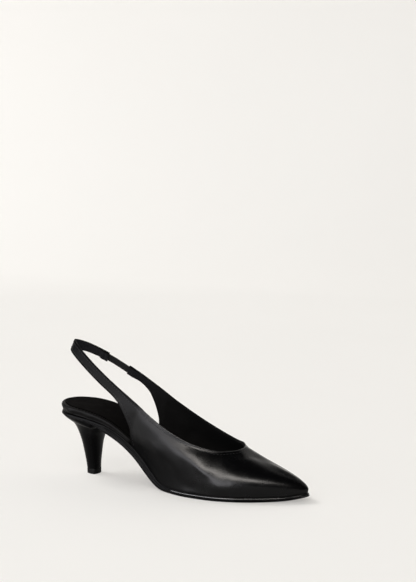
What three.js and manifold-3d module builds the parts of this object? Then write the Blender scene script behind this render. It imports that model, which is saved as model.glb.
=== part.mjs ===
// Right slingback pump with a pointed toe: one hollow upper whose lateral quarter runs on as the heel
// strap, an elastic on the medial side, a padded insole, an outsole, a covered cone heel and its top lift.
// Millimetres, +Z up, +X to the toe, +Y to the medial side. The heel seat's back starts at X = 0.
import * as THREE from 'three';
import Module from 'manifold-3d';

const wasm = await Module();
wasm.setup();

// Lengths along the shoe
const shoeLength = 250;
const seatRound = 30;
const toeRound = 5.5;
const toeLean = 5;
const leanFrom = 0.55;
const leanCurve = 1.5;
const insoleReach = 0.955;
const insoleRound = 9;

// Widths
const ballWidth = 72;

// Heights
const seatHeight = 56.6;
const toeSpring = 4.8;
const instepHeight = 41.4;
const strapHeight = 126.6;

// Leather, sole layers and the clearance between pieces
const wall = 2;
const edgeBand = 3.5;
const coverBand = 3;
const coverStep = 0.7;
const seatStep = 1.2;
const seatBevel = 0.6;
const edgeRound = 0.6;
const padThickness = 8;
const padRound = 2;
const padOverhang = 0.5;
const seam = 0.3;

// Strap, and the elastic that is held in pockets in its two folded ends. The elastic's ends and the
// depth of the pockets are measured along the shoe. The pockets leave a thin wall above the elastic.
const strapWidth = { back: 9.2, side: 9.1, front: 8.6 };
const strapTilt = { back: 20, side: 28 };
const strapLean = { back: 0, side: 20 };
const elasticFront = 58.6;
const elasticRear = 39.3;
const pocketWall = 0.35;
const elasticWidth = strapWidth.front - 2 * (pocketWall + seam);
const elasticThickness = 1.2;
const foldedEnd = 3.2;
const foldRun = 9;
const foldMargin = 1.5;
const pocketDepth = 5;

// Covered heel and top lift
const heelLength = 46;
const liftHeight = 5;

// Outline of the outsole. Each half width is a share of the ball width, and the back and the toe are
// rounded off afterwards.
const outlineRows = [
  { at: 0.0, lateral: 0.355, medial: 0.355 },
  { at: 0.12, lateral: 0.36, medial: 0.36 },
  { at: 0.2, lateral: 0.342, medial: 0.335 },
  { at: 0.3, lateral: 0.312, medial: 0.292 },
  { at: 0.4, lateral: 0.335, medial: 0.268 },
  { at: 0.5, lateral: 0.405, medial: 0.32 },
  { at: 0.6, lateral: 0.484, medial: 0.43 },
  { at: 0.68, lateral: 0.492, medial: 0.493 },
  { at: 0.76, lateral: 0.44, medial: 0.465 },
  { at: 0.85, lateral: 0.315, medial: 0.34 },
  { at: 0.93, lateral: 0.19, medial: 0.2 },
  { at: 0.98, lateral: 0.092, medial: 0.094 },
  { at: 1.0, lateral: 0.062, medial: 0.062 },
];

// Underside of the outsole along the shoe: the arch falls from the seat as a share of the seat height,
// and the toe rises as a share of the toe spring. The bands and the pad are shares of their full
// thickness. Step tells which band stands out: 0 for the cover band at the seat, 1 for the edge band.
const profileRows = [
  { at: 0.0, arch: 1.0, spring: 0, edge: 0.23, cover: 0.97, step: 0, pad: 1.0 },
  { at: 0.06, arch: 0.988, spring: 0, edge: 0.23, cover: 0.97, step: 0, pad: 0.875 },
  { at: 0.088, arch: 0.982, spring: 0, edge: 0.23, cover: 0.97, step: 0, pad: 0.83 },
  { at: 0.132, arch: 0.963, spring: 0, edge: 0.23, cover: 0.97, step: 0, pad: 0.785 },
  { at: 0.168, arch: 0.931, spring: 0, edge: 0.24, cover: 0.97, step: 0.15, pad: 0.775 },
  { at: 0.204, arch: 0.866, spring: 0, edge: 0.65, cover: 0.97, step: 0.5, pad: 0.72 },
  { at: 0.24, arch: 0.784, spring: 0, edge: 1, cover: 1, step: 1, pad: 0.625 },
  { at: 0.262, arch: 0.735, spring: 0, edge: 1, cover: 1, step: 1, pad: 0.57 },
  { at: 0.296, arch: 0.645, spring: 0, edge: 1, cover: 1, step: 1, pad: 0.5 },
  { at: 0.344, arch: 0.493, spring: 0, edge: 1, cover: 1, step: 1, pad: 0.44 },
  { at: 0.372, arch: 0.382, spring: 0, edge: 1, cover: 0.96, step: 1, pad: 0.4 },
  { at: 0.4, arch: 0.251, spring: 0, edge: 1, cover: 0.9, step: 1, pad: 0.375 },
  { at: 0.448, arch: 0.069, spring: 0, edge: 1, cover: 0.7, step: 1, pad: 0.375 },
  { at: 0.48, arch: 0.012, spring: 0, edge: 1, cover: 0.5, step: 1, pad: 0.375 },
  { at: 0.534, arch: 0, spring: 0, edge: 1, cover: 0.36, step: 1, pad: 0.375 },
  { at: 0.82, arch: 0, spring: 0, edge: 1, cover: 0.33, step: 1, pad: 0.375 },
  { at: 0.88, arch: 0, spring: 0.11, edge: 0.97, cover: 0.32, step: 1, pad: 0.36 },
  { at: 0.94, arch: 0, spring: 0.36, edge: 0.88, cover: 0.3, step: 1, pad: 0.34 },
  { at: 0.98, arch: 0, spring: 0.75, edge: 0.78, cover: 0.28, step: 1, pad: 0.32 },
  { at: 1.0, arch: 0, spring: 1, edge: 0.74, cover: 0.27, step: 1, pad: 0.32 },
];

// Crest of the vamp from the throat to the toe, as a share of the instep height.
const ridgeRows = [
  { at: 0.751, rise: 1.0 },
  { at: 0.775, rise: 0.884 },
  { at: 0.795, rise: 0.815 },
  { at: 0.83, rise: 0.752 },
  { at: 0.873, rise: 0.685 },
  { at: 0.93, rise: 0.558 },
  { at: 0.965, rise: 0.444 },
  { at: 0.978, rise: 0.394 },
  { at: 0.987, rise: 0.345 },
];

// Sections of the toe and vamp. Foot is where a section meets the sole and crest where it meets the
// ridge, both as shares of the length. Leans are degrees out from the section's own line, and pulls are
// shares of its height.
const vampRows = [
  { at: 0, foot: 1.0, crest: 0.987, footLean: 22, footPull: 0.34, topLean: 80, topPull: 0.5 },
  { at: 1, foot: 0.97, crest: 0.964, footLean: 20, footPull: 0.34, topLean: 83, topPull: 0.56 },
  { at: 2, foot: 0.93, crest: 0.928, footLean: 18, footPull: 0.36, topLean: 85, topPull: 0.6 },
  { at: 3, foot: 0.86, crest: 0.868, footLean: 15, footPull: 0.37, topLean: 86, topPull: 0.6 },
  { at: 4, foot: 0.79, crest: 0.81, footLean: 14, footPull: 0.37, topLean: 87, topPull: 0.54 },
  { at: 5, foot: 0.732, crest: 0.751, footLean: 14, footPull: 0.38, topLean: 88, topPull: 0.44 },
];

// Topline from the throat round the heel strap. Half widths are shares of the ball width and rises are
// shares of the strap height.
const toplineRows = [
  { at: 0.751, lateral: 0, medial: 0, lateralRise: 0.327, medialRise: 0.327 },
  { at: 0.743, lateral: 0.105, medial: 0.125, lateralRise: 0.3228, medialRise: 0.331 },
  { at: 0.722, lateral: 0.18, medial: 0.22, lateralRise: 0.3207, medialRise: 0.3386 },
  { at: 0.69, lateral: 0.272, medial: 0.29, lateralRise: 0.3233, medialRise: 0.3396 },
  { at: 0.6, lateral: 0.39, medial: 0.36, lateralRise: 0.3732, medialRise: 0.3936 },
  { at: 0.512, lateral: 0.437, medial: 0.343, lateralRise: 0.4558, medialRise: 0.4803 },
  { at: 0.426, lateral: 0.428, medial: 0.34, lateralRise: 0.5577, medialRise: 0.5741 },
  { at: 0.395, lateral: 0.419, medial: 0.342, lateralRise: 0.5962, medialRise: 0.6108 },
  { at: 0.36, lateral: 0.406, medial: 0.343, lateralRise: 0.64, medialRise: 0.6526 },
  { at: 0.325, lateral: 0.391, medial: 0.342, lateralRise: 0.685, medialRise: 0.6924 },
  { at: 0.29, lateral: 0.376, medial: 0.332, lateralRise: 0.7286, medialRise: 0.7352 },
  { at: 0.235, lateral: 0.347, medial: 0.303, lateralRise: 0.7965, medialRise: 0.7995 },
  { at: 0.158, lateral: 0.282, medial: 0.236, lateralRise: 0.8938, medialRise: 0.8882 },
  { at: 0.082, lateral: 0.156, medial: 0.102, lateralRise: 0.9803, medialRise: 0.9708 },
  { at: 0.052, lateral: 0.0305, medial: 0.0305, lateralRise: 1, medialRise: 1 },
];
const throatLean = 2.8;

// Where the sections that hang from the topline meet the sole, as shares of the length, by topline row
// from the throat to the quarter's corner. Behind that row the quarter's edge leaves the sole, and the
// last row holds the corner's place.
const footRows = [
  { at: 0, lateral: 0.732, medial: 0.732 },
  { at: 1, lateral: 0.722, medial: 0.722 },
  { at: 2, lateral: 0.705, medial: 0.705 },
  { at: 3, lateral: 0.672, medial: 0.672 },
  { at: 4, lateral: 0.575, medial: 0.575 },
  { at: 5, lateral: 0.465, medial: 0.468 },
  { at: 6, lateral: 0.334, medial: 0.35 },
  { at: 7, lateral: 0.334, medial: 0.35 },
];
const cornerRow = 6;

// Shape of the sections that hang from the topline, by topline row. Drop is how much of the quarter's
// depth is left between the strap and the sole. Fall is how much the sections follow the ridge's slope.
const quarterRows = [
  { at: 0, drop: 1, fall: 1, footLean: 14, footPull: 0.38, topLean: 88, topPull: 0.44 },
  { at: 1, drop: 1, fall: 0.8, footLean: 13, footPull: 0.38, topLean: 74, topPull: 0.36 },
  { at: 2, drop: 1, fall: 0.5, footLean: 13, footPull: 0.37, topLean: 60, topPull: 0.36 },
  { at: 3, drop: 1, fall: 0.2, footLean: 14, footPull: 0.36, topLean: 58, topPull: 0.36 },
  { at: 4, drop: 1, fall: 0, footLean: 17, footPull: 0.34, topLean: 50, topPull: 0.34 },
  { at: 5, drop: 1, fall: 0, footLean: 20, footPull: 0.32, topLean: 36, topPull: 0.32 },
  { at: 6, drop: 1, fall: 0, footLean: 18, footPull: 0.32, topLean: 26, topPull: 0.32 },
  { at: 7, drop: 0.5, fall: 0, footLean: 10, footPull: 0.32, topLean: 16, topPull: 0.32 },
  { at: 8, drop: 0.22, fall: 0, footLean: 4, footPull: 0.33, topLean: 6, topPull: 0.33 },
  { at: 9, drop: 0.05, fall: 0, footLean: 0, footPull: 0.33, topLean: 0, topPull: 0.33 },
  { at: 10, drop: 0, fall: 0, footLean: 0, footPull: 0.33, topLean: 0, topPull: 0.33 },
  { at: 14, drop: 0, fall: 0, footLean: 0, footPull: 0.33, topLean: 0, topPull: 0.33 },
];

// Covered heel: shares of the local height under the seat, of the heel's length and of the seat's half
// width, and the rounding of the back and breast as shares of the section's depth.
const heelRows = [
  { at: 0.0, back: 0.531, front: 0.812, half: 0.235, backRound: 0.7, breastRound: 0.25 },
  { at: 0.11, back: 0.51, front: 0.815, half: 0.25, backRound: 0.7, breastRound: 0.25 },
  { at: 0.3, back: 0.471, front: 0.83, half: 0.3, backRound: 0.7, breastRound: 0.24 },
  { at: 0.51, back: 0.418, front: 0.849, half: 0.375, backRound: 0.7, breastRound: 0.22 },
  { at: 0.68, back: 0.348, front: 0.895, half: 0.45, backRound: 0.7, breastRound: 0.2 },
  { at: 0.78, back: 0.295, front: 0.942, half: 0.53, backRound: 0.7, breastRound: 0.18 },
  { at: 0.855, back: 0.234, front: 0.962, half: 0.61, backRound: 0.72, breastRound: 0.15 },
  { at: 0.885, back: 0.21, front: 0.965, half: 0.68, backRound: 0.75, breastRound: 0.13 },
  { at: 0.905, back: 0.185, front: 0.975, half: 0.86, backRound: 0.9, breastRound: 0.1 },
  { at: 0.94, back: 0.125, front: 0.985, half: 0.915, backRound: 0.85, breastRound: 0.08 },
  { at: 0.97, back: 0.07, front: 0.993, half: 0.925, backRound: 0.75, breastRound: 0.07 },
  { at: 1.0, back: 0.035, front: 1.0, half: 0.93, backRound: 0.68, breastRound: 0.07 },
];

// How finely the curved pieces are divided
const outlineSteps = 56;
const vampSteps = 3;
const toplineSteps = 3;
const acrossSteps = 9;
const heelSteps = 14;
const bandSteps = 8;
const capSteps = 4;
const halvings = 30;

// Small steps over which slopes and directions are read: shares of the length for the sole and the
// ridge, radians round the outline and rows along the topline.
const slopeStep = 0.002;
const ridgeStep = 0.01;
const turnStep = 0.01;
const rowStep = 0.05;

// The toe's first sections are closer together, because they fan round the tip, and so are the last
// ones at the strap's folded ends, in rows back from the end.
const toeFan = [0, 0.06, 0.16, 0.3, 0.5, 0.75, 1];
const foldRows = [0.42, 0.36, 0.28, 0.14, 0];

// Evening of the sections: how often, and over how many rows it fades in and out.
const fairPasses = 16;
const fairFade = 4;

// Inside of the sharp toe: where it begins, and how much of its half width is kept.
const toeBox = 0.93;
const toeKeep = 0.4;

// Half width, as a share of the ball width, over which the strap's lean fades out round its back.
const strapHollow = 0.2;

// The insole is drawn in over a short run that ends just behind the quarter's corner, as shares of the
// length, and its top is dished towards the middle.
const tuckRun = 0.022;
const tuckGap = 0.006;
const stationGap = 0.012;
const padDish = 0.9;

// Side of the insole's pad from its bottom to its top: how far it draws in, as a share of its rounding,
// and how high it is, as a share of its thickness.
const padLevels = [
  { draw: 0.6, height: 0 },
  { draw: 0.15, height: 0.15 },
  { draw: 0, height: 0.35 },
  { draw: 0.05, height: 0.65 },
  { draw: 0.35, height: 0.88 },
  { draw: 1, height: 1 },
];

// Where the edge band is thin, its rounding is this share of it. The top lift's edge is rounded too.
const thinRound = 0.4;
const liftRound = 0.4;

const lateral = -1;
const medial = 1;
const degree = Math.PI / 180;

// A smooth monotone curve through one column of a table, against its "at" column.
function column(rows, name) {
  const step = rows.slice(1).map((row, i) => row.at - rows[i].at);
  const slope = step.map((size, i) => (rows[i + 1][name] - rows[i][name]) / size);
  const tangent = rows.map((row, i) => {
    if (i === 0) return slope[0];
    if (i === rows.length - 1) return slope[i - 1];
    if (slope[i - 1] * slope[i] <= 0) return 0;
    const before = 2 * step[i] + step[i - 1];
    const after = step[i] + 2 * step[i - 1];
    return (before + after) / (before / slope[i - 1] + after / slope[i]);
  });
  return (at) => {
    let i = 0;
    while (i < step.length - 1 && at > rows[i + 1].at) i += 1;
    const t = THREE.MathUtils.clamp((at - rows[i].at) / step[i], 0, 1);
    const rise = rows[i + 1][name] - rows[i][name];
    const start = tangent[i] * step[i];
    const end = tangent[i + 1] * step[i];
    const bend = 3 * rise - 2 * start - end;
    const twist = start + end - 2 * rise;
    return rows[i][name] + start * t + bend * t ** 2 + twist * t ** 3;
  };
}

// A quarter-round end: 0 at the tip and 1 where the rounding is over.
function roundEnd(distance, radius) {
  const left = 1 - THREE.MathUtils.clamp(distance / radius, 0, 1);
  return Math.sqrt(1 - left * left);
}

const outline = { lateral: column(outlineRows, 'lateral'), medial: column(outlineRows, 'medial') };
const archShare = column(profileRows, 'arch');
const springShare = column(profileRows, 'spring');
const edgeShare = column(profileRows, 'edge');
const coverShare = column(profileRows, 'cover');
const padShare = column(profileRows, 'pad');
const stepShare = column(profileRows, 'step');
const ridgeShare = column(ridgeRows, 'rise');

const sideName = (side) => (side === lateral ? 'lateral' : 'medial');

// How far a plate of the sole reaches, as a share of the length, and how it rounds off there.
const solePlan = { reach: 1, round: toeRound };
const insolePlan = { reach: insoleReach, round: insoleRound };

// The pointed toe leans to the medial side ahead of the arch.
function centreLine(share) {
  return toeLean * THREE.MathUtils.clamp((share - leanFrom) / (1 - leanFrom), 0, 1) ** leanCurve;
}

function halfWidth(side, share, plan) {
  const x = share * shoeLength;
  const rounded = roundEnd(x, seatRound) * roundEnd(plan.reach * shoeLength - x, plan.round);
  return ballWidth * outline[sideName(side)](share) * rounded;
}

function underside(share) {
  return seatHeight * archShare(share) + toeSpring * springShare(share);
}

// Direction square to the sole's underside, in the plane of the shoe's length and height.
function bedNormal(share) {
  const near = Math.max(share - slopeStep, 0);
  const far = Math.min(share + slopeStep, 1);
  const slope = (underside(far) - underside(near)) / ((far - near) * shoeLength);
  return new THREE.Vector3(-slope, 0, 1).normalize();
}

const edgeThickness = (share) => edgeBand * edgeShare(share);
const soleThickness = (share) => edgeThickness(share) + coverBand * coverShare(share);

// Outline position as an angle from 0 at the heel's back to PI at the plate's tip.
const angleOf = (share) => Math.acos(1 - 2 * THREE.MathUtils.clamp(share, 0, 1));
const shareOf = (angle) => (1 - Math.cos(angle)) / 2;

function planPoint(side, angle, plan = solePlan) {
  const turned = angle < 0 || angle > Math.PI ? -side : side;
  const share = plan.reach * shareOf(angle);
  return new THREE.Vector2(share * shoeLength, centreLine(share) + turned * halfWidth(turned, share, plan));
}

function planNormal(side, angle, plan = solePlan) {
  const ahead = planPoint(side, angle + turnStep, plan);
  const behind = planPoint(side, angle - turnStep, plan);
  const along = ahead.sub(behind).normalize();
  return new THREE.Vector2(-side * along.y, side * along.x);
}

// A point on the sole's edge, moved inwards by inset and up from the underside by lift.
function bedPoint(side, angle, inset, lift, plan = solePlan) {
  const share = plan.reach * shareOf(angle);
  const place = planPoint(side, angle, plan).addScaledVector(planNormal(side, angle, plan), -inset);
  const base = new THREE.Vector3(place.x, place.y, underside(place.x / shoeLength));
  return base.addScaledVector(bedNormal(share), lift);
}

// A closed mesh collected vertex by vertex: corners that meet are shared.
class Shell {
  constructor() {
    this.points = [];
    this.faces = [];
    this.known = new Map();
  }

  vertex(point) {
    const key = [point.x, point.y, point.z].map((value) => Math.round(value * 1e4)).join();
    if (!this.known.has(key)) {
      this.known.set(key, this.points.length);
      this.points.push(point.clone());
    }
    return this.known.get(key);
  }

  triangle(a, b, c) {
    if (a !== b && b !== c && c !== a) this.faces.push([a, b, c]);
  }

  // Four corners in order, split along the shorter diagonal.
  quad(a, b, c, d) {
    const first = this.points[a].distanceTo(this.points[c]);
    const second = this.points[b].distanceTo(this.points[d]);
    if (first <= second) {
      this.triangle(a, b, c);
      this.triangle(a, c, d);
    } else {
      this.triangle(a, b, d);
      this.triangle(b, c, d);
    }
  }

  // Rows of equal length joined into a surface. Turned faces the other way.
  surface(rows, turned = false) {
    const grid = rows.map((row) => row.map((point) => this.vertex(point)));
    for (let i = 0; i + 1 < grid.length; i += 1) {
      for (let j = 0; j + 1 < grid[i].length; j += 1) {
        const corners = [grid[i][j], grid[i][j + 1], grid[i + 1][j + 1], grid[i + 1][j]];
        if (turned) corners.reverse();
        this.quad(...corners);
      }
    }
    return grid;
  }

  normals() {
    const sums = this.points.map(() => new THREE.Vector3());
    this.faces.forEach(([a, b, c]) => {
      const side = this.points[b].clone().sub(this.points[a]);
      const area = side.cross(this.points[c].clone().sub(this.points[a]));
      [a, b, c].forEach((i) => sums[i].add(area));
    });
    return sums.map((sum) => sum.normalize());
  }

  solid() {
    const vertProperties = new Float32Array(this.points.flatMap((point) => [point.x, point.y, point.z]));
    const triVerts = new Uint32Array(this.faces.flat());
    return new wasm.Manifold(new wasm.Mesh({ numProp: 3, vertProperties, triVerts }));
  }
}

// A plate that follows the sole's outline: a ring for each level, from the bottom up, with a flat cap
// below and a cap above that may dish down towards the middle. Stations are extra places along it.
function solePlate(levels, { plan = solePlan, dish = () => 0, stations = [] } = {}) {
  const shell = new Shell();
  const even = Array.from({ length: outlineSteps + 1 }, (_, i) => (Math.PI * i) / outlineSteps);
  const extra = stations.map((share) => angleOf(share / plan.reach));
  const near = (angle) => extra.some((other) => Math.abs(other - angle) < stationGap);
  const angles = [...even.filter((angle) => !near(angle)), ...extra].sort((a, b) => a - b);
  const edge = (side, level) => angles.map((angle) => {
    const share = plan.reach * shareOf(angle);
    return bedPoint(side, angle, level.inset(share, side), level.lift(share), plan);
  });
  [lateral, medial].forEach((side) => {
    shell.surface(levels.map((level) => edge(side, level)), side === medial);
  });
  const cap = (level, dished) => {
    const outer = edge(lateral, level);
    const inner = edge(medial, level);
    return outer.map((start, i) => Array.from({ length: capSteps + 1 }, (_, j) => {
      const share = plan.reach * shareOf(angles[i]);
      const across = j / capSteps;
      const point = start.clone().lerp(inner[i], across);
      const spread = start.distanceTo(inner[i]) / ballWidth;
      const hollow = dished ? dish(share) * spread * 4 * across * (1 - across) : 0;
      return point.addScaledVector(bedNormal(share), -hollow);
    }));
  };
  shell.surface(cap(levels[0], false), false);
  shell.surface(cap(levels[levels.length - 1], true), true);
  return shell;
}

// Outsole: a rounded edge band and the covered band above it. The covered band is set back ahead of
// the heel and stands out over the heel.
const coverInset = (share) => coverStep * stepShare(share);
const edgeInset = (share) => seatStep * (1 - stepShare(share));
function outsoleShell() {
  const round = (share) => Math.min(edgeRound, thinRound * edgeThickness(share));
  const edge = (draw, lift) => ({ inset: (share) => edgeInset(share) + draw * round(share), lift });
  return solePlate([
    edge(1, () => 0),
    edge(0.3, (share) => 0.3 * round(share)),
    edge(0, round),
    edge(0, (share) => edgeThickness(share) - 0.5 * round(share)),
    edge(0.4, edgeThickness),
    { inset: coverInset, lift: (share) => edgeThickness(share) + seatBevel * (1 - stepShare(share)) },
    { inset: coverInset, lift: soleThickness },
  ]);
}

// Insole: padded at the seat, and drawn in just behind the quarters so that it runs inside the upper.
function insoleShell() {
  const corner = (side) => footRows[cornerRow][sideName(side)];
  const tucked = (share, side) => (
    THREE.MathUtils.smoothstep(share, corner(side) - tuckRun, corner(side) - tuckGap));
  const inside = coverStep + wall + seam;
  const inset = (share, side) => THREE.MathUtils.lerp(-padOverhang, inside, tucked(share, side));
  const bottom = (share) => soleThickness(share) + seam;
  const levels = padLevels.map(({ draw, height }) => ({
    inset: (share, side) => inset(share, side) + draw * padRound,
    lift: (share) => bottom(share) + height * padThickness * padShare(share),
  }));
  const stations = [lateral, medial].flatMap((side) => [
    corner(side) - tuckRun, corner(side) - (tuckRun + tuckGap) / 2, corner(side) - tuckGap,
  ]);
  return solePlate(levels, { plan: insolePlan, dish: (share) => padDish * padShare(share), stations });
}

// The closed topline: throat, lateral side, back of the strap, medial side, and round to the throat.
const toplinePoint = (side, row) => {
  const name = sideName(side);
  const lean = row === toplineRows[0] ? throatLean : 0;
  const turned = row === toplineRows[toplineRows.length - 1] ? lateral : side;
  const y = turned * ballWidth * row[name] + lean;
  return new THREE.Vector3(row.at * shoeLength, y, strapHeight * row[`${name}Rise`]);
};
const toplineLast = toplineRows.length - 1;
const topline = new THREE.CatmullRomCurve3([
  ...toplineRows.map((row) => toplinePoint(lateral, row)),
  ...toplineRows.slice(1, toplineLast).reverse().map((row) => toplinePoint(medial, row)),
], true, 'centripetal');
const toplineSpan = 2 * toplineLast;

// Topline position by table row, from the throat: past the last row it comes round the other side.
function toplineAt(side, row) {
  const turn = side === lateral ? row / toplineSpan : 1 - row / toplineSpan;
  return topline.getPoint(((turn % 1) + 1) % 1);
}

// The row at which the medial strap's top edge is a given distance along the shoe.
function medialRow(x) {
  let ahead = cornerRow;
  let behind = toplineLast;
  for (let i = 0; i < halvings; i += 1) {
    const middle = (ahead + behind) / 2;
    if (toplineAt(medial, middle).x > x) ahead = middle;
    else behind = middle;
  }
  return ahead;
}

const numbered = (rows) => rows.map((row, i) => ({ ...row, at: i }));
const columns = (rows, names) => Object.fromEntries(names.map((name) => [name, column(rows, name)]));
const shapeNames = ['footLean', 'footPull', 'topLean', 'topPull'];
const vampColumns = columns(vampRows, ['foot', 'crest', ...shapeNames]);
const quarterColumns = columns(quarterRows, ['drop', 'fall', ...shapeNames]);
const footColumns = columns(footRows, ['lateral', 'medial']);

// The strap's width as a vector up from its lower edge. Its sides lean in towards the ankle, and its
// front end on the medial side is a little narrower.
function strapRise(side, row) {
  const { x, y } = toplineAt(side, row);
  const fade = THREE.MathUtils.smoothstep(Math.abs(y), 0, strapHollow * ballWidth);
  const between = ({ back, side: beside }) => THREE.MathUtils.lerp(back, beside, fade);
  const ahead = side === medial ? THREE.MathUtils.smoothstep(x, elasticRear, elasticFront) : 0;
  const width = THREE.MathUtils.lerp(between(strapWidth), strapWidth.front, ahead);
  const tilt = between(strapTilt) * degree;
  const lean = Math.tan(between(strapLean) * degree);
  const rise = new THREE.Vector3(Math.sin(tilt), -Math.sign(y) * lean, Math.cos(tilt));
  return rise.setLength(width);
}

// Where a section of the upper meets the sole.
function feather(side, share) {
  const angle = angleOf(share);
  return bedPoint(side, angle, coverStep, soleThickness(share) + seam);
}

// One section of the upper from its foot to its top, as a curve with a handle at each end. The top
// handle follows the slope of the ridge, and a section that has dropped away from the sole is straighter.
function section(foot, top, outward, shape, bow) {
  const chord = top.clone().sub(foot);
  const height = chord.length();
  const rise = new THREE.Vector3(chord.x, 0, chord.z).normalize();
  const handle = (lean, sign) => outward.clone().multiplyScalar(Math.sin(lean * degree))
    .addScaledVector(rise, sign * Math.cos(lean * degree));
  const down = new THREE.Vector3(0, 0, outward.x * shape.slope * Math.sin(shape.topLean * degree));
  const straight = chord.clone().divideScalar(3);
  const low = foot.clone().addScaledVector(handle(shape.footLean, 1), shape.footPull * height)
    .lerp(foot.clone().add(straight), 1 - bow);
  const high = top.clone().addScaledVector(handle(shape.topLean, -1).add(down), shape.topPull * height)
    .lerp(top.clone().sub(straight), 1 - bow);
  const curve = new THREE.CubicBezierCurve3(foot, low, high, top);
  return Array.from({ length: acrossSteps + 1 }, (_, j) => curve.getPoint(j / acrossSteps));
}

function outwardAt(side, share) {
  const plan = planNormal(side, angleOf(share));
  return new THREE.Vector3(plan.x, plan.y, 0);
}

const shapeAt = (columns, at) => Object.fromEntries(
  Object.entries(columns).map(([name, value]) => [name, value(at)]),
);

// Fall of the ridge per millimetre along the shoe.
function ridgeSlope(share) {
  const far = Math.min(share + ridgeStep, ridgeRows[ridgeRows.length - 1].at);
  const near = Math.max(far - 2 * ridgeStep, ridgeRows[0].at);
  return (instepHeight * (ridgeShare(far) - ridgeShare(near))) / ((far - near) * shoeLength);
}

// Toe and vamp: sections that rise to the crest.
function vampSection(side, at) {
  const shape = shapeAt(vampColumns, at);
  const first = ridgeRows[0].at;
  const last = ridgeRows[ridgeRows.length - 1].at;
  const reach = THREE.MathUtils.clamp((shape.crest - first) / (last - first), 0, 1);
  const y = THREE.MathUtils.lerp(throatLean, centreLine(shape.crest), reach);
  const top = new THREE.Vector3(shape.crest * shoeLength, y, instepHeight * ridgeShare(shape.crest));
  shape.slope = ridgeSlope(shape.crest);
  return section(feather(side, shape.foot), top, outwardAt(side, shape.foot), shape, 1);
}

// Quarter and strap: sections that hang from the topline. Behind the corner they end on the open edge,
// which climbs from the sole to the strap.
function quarterSection(side, row) {
  const shape = shapeAt(quarterColumns, row > toplineLast ? toplineSpan - row : row);
  shape.slope = shape.fall * ridgeSlope(toplineRows[0].at);
  const footShare = footColumns[sideName(side)](Math.min(row, cornerRow));
  const outward = outwardAt(side, footShare);
  const foot = feather(side, footShare);
  const top = toplineAt(side, row);
  if (row <= cornerRow) return section(foot, top, outward, shape, 1);
  const depth = toplineAt(side, cornerRow).sub(foot);
  const drop = strapRise(side, row).lerp(depth, shape.drop);
  return section(top.clone().sub(drop), top, outward, shape, shape.drop);
}

const steps = (from, to, perRow) => {
  const count = Math.round(Math.abs(to - from) * perRow);
  return Array.from({ length: count + 1 }, (_, i) => from + ((to - from) * i) / count);
};

// Evens the sections from one row to the next between two rows, without moving their feet or tops.
function fair(rows, from, to) {
  for (let pass = 0; pass < fairPasses; pass += 1) {
    const before = rows.map((row) => row.map((point) => point.clone()));
    for (let i = from; i < to; i += 1) {
      const weight = Math.min(1, (i - from) / fairFade, (to - i) / fairFade) / 2;
      for (let j = 1; j < rows[i].length - 1; j += 1) {
        const middle = before[i - 1][j].clone().lerp(before[i + 1][j], 0.5);
        rows[i][j].lerp(middle, weight);
      }
    }
  }
}

// The outer surface. Its feet stay on the sole, and the strap's two ends are folded to a thicker wall.
function outerSurface() {
  const shell = new Shell();
  const feet = new Set();
  const thickness = new Map();
  const build = (side, lastRow) => {
    const front = [...toeFan, ...steps(1, vampRows.length - 1, vampSteps).slice(1)];
    const rear = [...steps(0, lastRow - foldRows[0], toplineSteps).slice(1, -1),
      ...foldRows.map((back) => lastRow - back)];
    const rows = [
      ...front.map((at) => vampSection(side, at)),
      ...rear.map((row) => quarterSection(side, row)),
    ];
    fair(rows, toeFan.length, front.length + rear.filter((row) => row < cornerRow).length);
    const placed = shell.surface(rows, side === medial);
    const end = toplineAt(side, lastRow);
    placed.forEach((row, i) => {
      const at = rear[i - front.length] ?? 0;
      if (at <= cornerRow) feet.add(row[0]);
      const gap = toplineAt(side, at).distanceTo(end);
      const folded = 1 - THREE.MathUtils.smoothstep(gap, pocketDepth + foldMargin, foldRun);
      row.forEach((index) => thickness.set(index, THREE.MathUtils.lerp(wall, foldedEnd, folded)));
    });
  };
  build(lateral, toplineSpan - medialRow(elasticRear));
  build(medial, medialRow(elasticFront));
  return { shell, feet, thickness };
}

// The upper's wall: the outer surface, the same surface moved in by the wall, and the edges between.
// At the sharp toe the inner surface keeps to its own side of the centre line.
function upperShell() {
  const { shell, feet, thickness } = outerSurface();
  const outer = shell.points.length;
  const faces = [...shell.faces];
  const normals = shell.normals();
  const inner = shell.points.map((point, i) => {
    const inward = normals[i].clone();
    if (feet.has(i)) {
      const bed = bedNormal(point.x / shoeLength);
      inward.addScaledVector(bed, -inward.dot(bed)).normalize();
    }
    const moved = point.clone().addScaledVector(inward, -thickness.get(i));
    if (point.x < toeBox * shoeLength) return moved;
    const before = point.y - centreLine(point.x / shoeLength);
    const after = moved.y - centreLine(point.x / shoeLength);
    const least = toeKeep * before;
    if (Math.sign(before) * (after - least) < 0) moved.y += least - after;
    return moved;
  });
  inner.forEach((point) => shell.points.push(point));
  const open = new Map();
  faces.forEach(([a, b, c]) => [[a, b], [b, c], [c, a]].forEach(([from, to]) => {
    if (!open.delete(`${to},${from}`)) open.set(`${from},${to}`, [from, to]);
  }));
  faces.forEach(([a, b, c]) => shell.faces.push([a + outer, c + outer, b + outer]));
  open.forEach(([from, to]) => shell.quad(to, from, from + outer, to + outer));
  return shell;
}

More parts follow.
